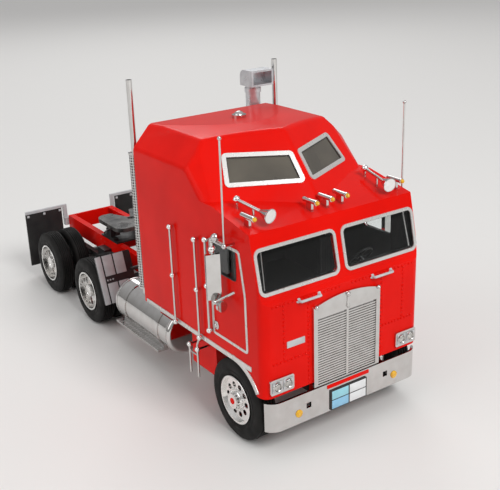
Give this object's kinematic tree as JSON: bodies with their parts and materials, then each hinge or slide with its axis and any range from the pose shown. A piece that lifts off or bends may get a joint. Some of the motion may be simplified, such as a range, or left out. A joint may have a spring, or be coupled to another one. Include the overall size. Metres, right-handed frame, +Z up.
{
  "type": "scale model of a cab-over sleeper tractor unit",
  "caption": "Scale model of a red cab-over semi truck tractor unit with raised-roof sleeper, steered front wheels, twin drive wheels that roll and a rocking fifth wheel.",
  "frame": {"origin": "on the floor under the middle of the overall box", "axes": "+Z up, nose towards -Y, driver's side of a left-hand-drive truck towards +X"},
  "size_m": [0.0886, 0.2258, 0.1264],
  "materials": {
    "body_red": "high gloss red enamel",
    "chrome": "bright vacuum plating",
    "satin_grey": "satin light grey paint",
    "black": "satin black",
    "tyre_rubber": "soft matt black",
    "glass": "clear",
    "lamp_clear": "clear lens",
    "lamp_amber": "amber lens",
    "interior": "matt black"
  },
  "bodies": {
    "chassis": {"cab_front": "body_red", "cab_side_left": "body_red", "cab_side_right": "body_red", "cab_rear": "body_red", "cab_roof": "body_red", "frame": "body_red", "step_boxes": "body_red", "bumper": "chrome", "grille_surround": "chrome", "grille_bars": "chrome", "headlamp_bezels": "chrome", "windscreen_frames": "chrome", "upper_window_frames": "chrome", "marker_lamps": "chrome", "air_horns": "chrome", "roof_dome": "chrome", "mirror_left": "chrome", "mirror_right": "chrome", "hand_rails": "chrome", "fuel_tank_left": "chrome", "fuel_tank_right": "chrome", "exhaust_left": "chrome", "exhaust_right": "chrome", "quarter_fenders": "satin_grey", "mudflap_hangers": "satin_grey", "air_intake": "satin_grey", "plate_holder": "black", "front_axle_beam": "black", "front_springs": "black", "drive_axle_front": "black", "drive_axle_rear": "black", "rear_suspension": "black", "engine_block": "black", "propeller_shafts": "black", "fifth_wheel_base": "black", "mudflaps": "black", "windscreen_glass": "glass", "side_glass": "glass", "upper_glass": "glass", "headlamp_lenses": "lamp_clear", "fog_lamps": "lamp_amber", "cab_floor": "interior", "seats": "interior", "dashboard": "interior", "steering_wheel": "interior"},
    "knuckle_body_left": {"knuckle_left": "black"},
    "knuckle_body_right": {"knuckle_right": "black"},
    "coupling": {"fifth_wheel_plate": "black"},
    "wheel_front_left": {"tyre_front_left": "tyre_rubber", "rim_front_left": "chrome"},
    "wheel_front_right": {"tyre_front_right": "tyre_rubber", "rim_front_right": "chrome"},
    "wheel_drive_left": {"tyre_drive_left": "tyre_rubber", "rim_drive_left": "chrome"},
    "wheel_drive_right": {"tyre_drive_right": "tyre_rubber", "rim_drive_right": "chrome"},
    "wheel_rear_left": {"tyre_rear_left": "tyre_rubber", "rim_rear_left": "chrome"},
    "wheel_rear_right": {"tyre_rear_right": "tyre_rubber", "rim_rear_right": "chrome"}
  },
  "joints": [
    {"name": "steer_left", "type": "hinge", "parent": "chassis", "child": "knuckle_body_left", "pos_m": [0.0305, -0.0913, 0.0161], "axis": [0, 0, 1], "range_deg": [-18, 18]},
    {"name": "steer_right", "type": "hinge", "parent": "chassis", "child": "knuckle_body_right", "pos_m": [-0.0305, -0.0913, 0.0161], "axis": [0, 0, 1], "range_deg": [-18, 18]},
    {"name": "spin_front_left", "type": "hinge", "parent": "knuckle_body_left", "child": "wheel_front_left", "pos_m": [0.0374, -0.0913, 0.0161], "axis": [1, 0, 0], "continuous": true},
    {"name": "spin_front_right", "type": "hinge", "parent": "knuckle_body_right", "child": "wheel_front_right", "pos_m": [-0.0374, -0.0913, 0.0161], "axis": [1, 0, 0], "continuous": true},
    {"name": "spin_drive_left", "type": "hinge", "parent": "chassis", "child": "wheel_drive_left", "pos_m": [0.0374, 0.0378, 0.0161], "axis": [1, 0, 0], "continuous": true},
    {"name": "spin_drive_right", "type": "hinge", "parent": "chassis", "child": "wheel_drive_right", "pos_m": [-0.0374, 0.0378, 0.0161], "axis": [1, 0, 0], "continuous": true},
    {"name": "spin_rear_left", "type": "hinge", "parent": "chassis", "child": "wheel_rear_left", "pos_m": [0.0374, 0.0852, 0.0161], "axis": [1, 0, 0], "continuous": true},
    {"name": "spin_rear_right", "type": "hinge", "parent": "chassis", "child": "wheel_rear_right", "pos_m": [-0.0374, 0.0852, 0.0161], "axis": [1, 0, 0], "continuous": true},
    {"name": "coupling_rock", "type": "hinge", "parent": "chassis", "child": "coupling", "pos_m": [0, 0.0593, 0.0354], "axis": [1, 0, 0], "range_deg": [-12, 12]}
  ],
  "couplings": [
    {"joint": "steer_right", "follows": "steer_left", "ratio": 1}
  ]
}
